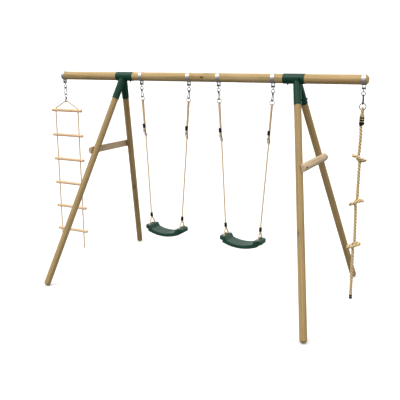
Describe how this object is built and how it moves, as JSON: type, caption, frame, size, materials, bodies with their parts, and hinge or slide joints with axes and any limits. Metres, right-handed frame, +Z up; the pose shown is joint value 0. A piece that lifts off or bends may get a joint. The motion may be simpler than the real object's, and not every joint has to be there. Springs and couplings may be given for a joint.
{
  "type": "garden swing set",
  "caption": "Wooden garden swing set on two A-frames with seat swings, a rope ladder and a knotted climbing rope hung from a round beam.",
  "frame": {"origin": "middle of the whole set on the ground", "axes": "+X along the beam to the right end with the climbing rope, +Y to the rear, +Z up"},
  "size_m": [3.3685, 1.7092, 2.0482],
  "materials": {
    "wood_beam": "turned pine, clear preservative, satin",
    "wood_leg": "turned pine, green-brown preservative, matte",
    "wood_brace": "half-round pine pole, matte",
    "wood_rung": "smooth pale wood",
    "green_steel": "dark green powder coat",
    "black_screw": "black",
    "zinc_steel": "bright zinc plate",
    "rope": "three-strand twisted rope",
    "rope_band": "heat-shrunk band",
    "black_plastic": "black plastic",
    "seat_green": "moulded dark green plastic"
  },
  "bodies": {
    "frame": {"beam": "wood_beam", "leg_front_left": "wood_leg", "leg_rear_left": "wood_leg", "leg_front_right": "wood_leg", "leg_rear_right": "wood_leg", "brace_left": "wood_brace", "brace_right": "wood_brace", "bracket_left": "green_steel", "bracket_right": "green_steel", "bracket_screws": "black_screw", "brace_screws": "black_screw", "hanger_bands": "zinc_steel", "hanger_bolts": "zinc_steel", "hanger_nuts": "zinc_steel"},
    "swing_left": {"swing_eyes_left": "zinc_steel", "swing_hooks_left": "zinc_steel", "swing_gate_pins_left": "zinc_steel", "swing_rings_left": "zinc_steel", "swing_ropes_left": "rope", "swing_adjusters_left": "zinc_steel", "swing_clips_left": "black_plastic", "swing_seat_left": "seat_green"},
    "gate_outer_left": {"swing_gate_outer_left": "zinc_steel"},
    "gate_inner_left": {"swing_gate_inner_left": "zinc_steel"},
    "swing_right": {"swing_eyes_right": "zinc_steel", "swing_hooks_right": "zinc_steel", "swing_gate_pins_right": "zinc_steel", "swing_rings_right": "zinc_steel", "swing_ropes_right": "rope", "swing_adjusters_right": "zinc_steel", "swing_clips_right": "black_plastic", "swing_seat_right": "seat_green"},
    "gate_outer_right": {"swing_gate_outer_right": "zinc_steel"},
    "gate_inner_right": {"swing_gate_inner_right": "zinc_steel"},
    "ladder_eye": {"ladder_eye": "zinc_steel"},
    "ladder_hook": {"ladder_hook": "zinc_steel", "ladder_gate_pin": "zinc_steel", "ladder_swivel": "zinc_steel"},
    "ladder_hook_gate": {"ladder_gate": "zinc_steel"},
    "ladder": {"ladder_ring": "zinc_steel", "ladder_rope": "rope", "ladder_rungs": "wood_rung", "ladder_pins": "zinc_steel"},
    "climb_eye": {"climb_eye": "zinc_steel"},
    "climb": {"climb_hook": "zinc_steel", "climb_gate_pin": "zinc_steel", "climb_ring": "zinc_steel", "climb_rope": "rope", "climb_knots": "rope", "climb_clips": "black_plastic", "climb_end_bands": "rope_band"},
    "climb_hook_gate": {"climb_gate": "zinc_steel"}
  },
  "joints": [
    {"name": "swing_left_swing", "type": "hinge", "parent": "frame", "child": "swing_left", "pos_m": [-0.2489, 0, 1.936], "axis": [1, 0, 0], "range_deg": [-60, 60]},
    {"name": "swing_right_swing", "type": "hinge", "parent": "frame", "child": "swing_right", "pos_m": [0.5919, 0, 1.936], "axis": [1, 0, 0], "range_deg": [-60, 60]},
    {"name": "gate_outer_left_hinge", "type": "hinge", "parent": "swing_left", "child": "gate_outer_left", "pos_m": [-0.51332, -0.01087, 1.86692], "axis": [0.9977, 0, 0.0674], "range_deg": [0, 25], "stiffness_Nm_per_rad": 0.02, "springref_deg": -20.05},
    {"name": "gate_inner_left_hinge", "type": "hinge", "parent": "swing_left", "child": "gate_inner_left", "pos_m": [0.01552, -0.01087, 1.86692], "axis": [0.9977, 0, -0.0674], "range_deg": [0, 25], "stiffness_Nm_per_rad": 0.02, "springref_deg": -20.05},
    {"name": "gate_outer_right_hinge", "type": "hinge", "parent": "swing_right", "child": "gate_outer_right", "pos_m": [0.85632, -0.01087, 1.86692], "axis": [0.9977, 0, -0.0674], "range_deg": [0, 25], "stiffness_Nm_per_rad": 0.02, "springref_deg": -20.05},
    {"name": "gate_inner_right_hinge", "type": "hinge", "parent": "swing_right", "child": "gate_inner_right", "pos_m": [0.32748, -0.01087, 1.86692], "axis": [0.9977, 0, 0.0674], "range_deg": [0, 25], "stiffness_Nm_per_rad": 0.02, "springref_deg": -20.05},
    {"name": "ladder_swing", "type": "hinge", "parent": "frame", "child": "ladder_eye", "pos_m": [-1.4765, 0, 1.936], "axis": [1, 0, 0], "range_deg": [-45, 45]},
    {"name": "ladder_sway", "type": "hinge", "parent": "ladder_eye", "child": "ladder_hook", "pos_m": [-1.4765, 0, 1.892], "axis": [0, 1, 0], "range_deg": [-6, 20]},
    {"name": "ladder_swivel_turn", "type": "hinge", "parent": "ladder_hook", "child": "ladder", "pos_m": [-1.4765, 0, 1.764], "axis": [0, 0, 1], "continuous": true},
    {"name": "climb_swing", "type": "hinge", "parent": "frame", "child": "climb_eye", "pos_m": [1.642, 0, 1.936], "axis": [1, 0, 0], "range_deg": [-45, 45]},
    {"name": "climb_sway", "type": "hinge", "parent": "climb_eye", "child": "climb", "pos_m": [1.642, 0, 1.892], "axis": [0, 1, 0], "range_deg": [-20, 5]},
    {"name": "ladder_gate_hinge", "type": "hinge", "parent": "ladder_hook", "child": "ladder_hook_gate", "pos_m": [-1.4765, -0.01087, 1.8669], "axis": [1, 0, 0], "range_deg": [0, 25], "stiffness_Nm_per_rad": 0.02, "springref_deg": -20.05},
    {"name": "climb_gate_hinge", "type": "hinge", "parent": "climb", "child": "climb_hook_gate", "pos_m": [1.642, -0.01087, 1.8669], "axis": [1, 0, 0], "range_deg": [0, 25], "stiffness_Nm_per_rad": 0.02, "springref_deg": -20.05}
  ]
}
